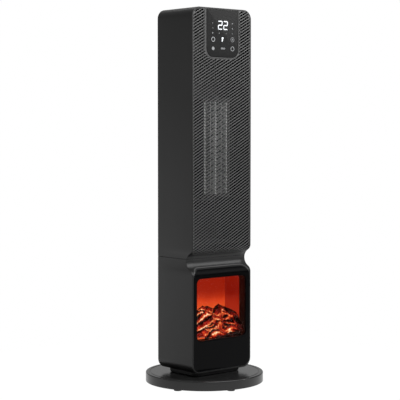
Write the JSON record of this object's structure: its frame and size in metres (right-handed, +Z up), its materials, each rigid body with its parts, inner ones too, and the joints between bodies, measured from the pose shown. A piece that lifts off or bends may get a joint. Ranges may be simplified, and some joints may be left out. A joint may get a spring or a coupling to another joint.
{
  "type": "tower heater",
  "caption": "Slim upright tower heater on a round swivel base, with a perforated outlet grille, a touch fascia with a number display, and a lit ember window below its neck groove.",
  "frame": {"origin": "on the floor under the centre of the base, which is the swivel axis", "axes": "+Z up, -Y towards the front with the grille and the window, +X towards the right side as seen from behind the front's viewer, so that the front is seen with +X on its right"},
  "size_m": [0.25, 0.25, 0.7886],
  "materials": {
    "shell_plastic": "satin dark grey, finely grained",
    "grille_mesh": "satin dark grey mesh",
    "fascia_gloss": "piano black",
    "panel_gloss": "piano black",
    "window_clear": "clear, polished",
    "surround_plastic": "matte black",
    "flame_box_red": "matte, lit red from below",
    "ember_resin": "translucent moulded resin with charred tops",
    "base_plastic": "semi-gloss dark grey",
    "foot_rubber": "matte black",
    "bush_rubber": "matte black",
    "weight_steel": "painted steel plate",
    "plated_steel": "zinc plated",
    "core_steel": "stacked sheets, blued",
    "fin_aluminium": "bright, folded",
    "heat_resin": "heat-resistant, matte",
    "white_nylon": "natural",
    "inner_black": "matte black",
    "switch_black": "gloss black",
    "coil_copper": "enamelled copper wire",
    "circuit_board": "green solder mask",
    "filter_foam": "open-cell pad"
  },
  "bodies": {
    "base": {"base_cover": "base_plastic", "base_plate": "weight_steel", "foot_1": "foot_rubber", "foot_2": "foot_rubber", "foot_3": "foot_rubber", "foot_4": "foot_rubber", "foot_5": "foot_rubber", "foot_6": "foot_rubber", "swivel_spindle": "inner_black", "glide_washer": "white_nylon", "swivel_sector": "white_nylon", "spindle_retainer": "plated_steel"},
    "tower": {"lower_shell": "shell_plastic", "upper_shell": "shell_plastic", "front_grille": "grille_mesh", "control_fascia": "fascia_gloss", "control_board": "circuit_board", "display_module": "fascia_gloss", "front_panel": "panel_gloss", "window_pane": "window_clear", "window_surround": "surround_plastic", "flame_box": "flame_box_red", "lamp_board": "white_nylon", "ember_bed": "ember_resin", "heater_frame": "heat_resin", "ptc_bar_1": "fin_aluminium", "ptc_bar_2": "fin_aluminium", "ptc_bar_3": "fin_aluminium", "ptc_bar_4": "fin_aluminium", "ptc_bar_5": "fin_aluminium", "ptc_fins_1": "fin_aluminium", "ptc_fins_2": "fin_aluminium", "ptc_fins_3": "fin_aluminium", "ptc_fins_4": "fin_aluminium", "thermal_cutout": "plated_steel", "blower_housing": "heat_resin", "impeller_bush": "bush_rubber", "motor_core": "core_steel", "motor_coil": "coil_copper", "motor_strip_upper": "plated_steel", "motor_strip_lower": "plated_steel", "mid_shelf": "heat_resin", "power_board": "circuit_board", "tilt_switch": "inner_black", "rear_cover_upper": "shell_plastic", "rear_cover_lower": "shell_plastic", "switch_housing": "switch_black", "cord_bush": "bush_rubber", "swivel_motor": "plated_steel", "swivel_motor_bracket": "plated_steel"},
    "blower_wheel": {"impeller": "inner_black", "motor_rotor": "core_steel"},
    "drive_pinion": {"swivel_pinion": "white_nylon"},
    "rocker": {"power_rocker": "switch_black"},
    "intake": {"intake_grille": "shell_plastic", "dust_pad": "filter_foam"}
  },
  "joints": [
    {"name": "tower_swivel", "type": "hinge", "parent": "base", "child": "tower", "pos_m": [0, 0, 0.0323], "axis": [0, 0, 1], "range_deg": [-35, 35]},
    {"name": "pinion_turn", "type": "hinge", "parent": "tower", "child": "drive_pinion", "pos_m": [0, 0.028, 0.0356], "axis": [0, 0, 1], "range_deg": [-141, 141]},
    {"name": "wheel_spin", "type": "hinge", "parent": "tower", "child": "blower_wheel", "pos_m": [0, 0.012, 0.3995], "axis": [0, 0, 1], "continuous": true},
    {"name": "power_rocker_tip", "type": "hinge", "parent": "tower", "child": "rocker", "pos_m": [0.04, 0.0547, 0.0783], "axis": [1, 0, 0], "range_deg": [0, 18]},
    {"name": "intake_pull", "type": "slide", "parent": "tower", "child": "intake", "axis": [0, 1, 0], "range_m": [0, 0.04]}
  ],
  "couplings": [
    {"joint": "pinion_turn", "follows": "tower_swivel", "ratio": 4}
  ]
}
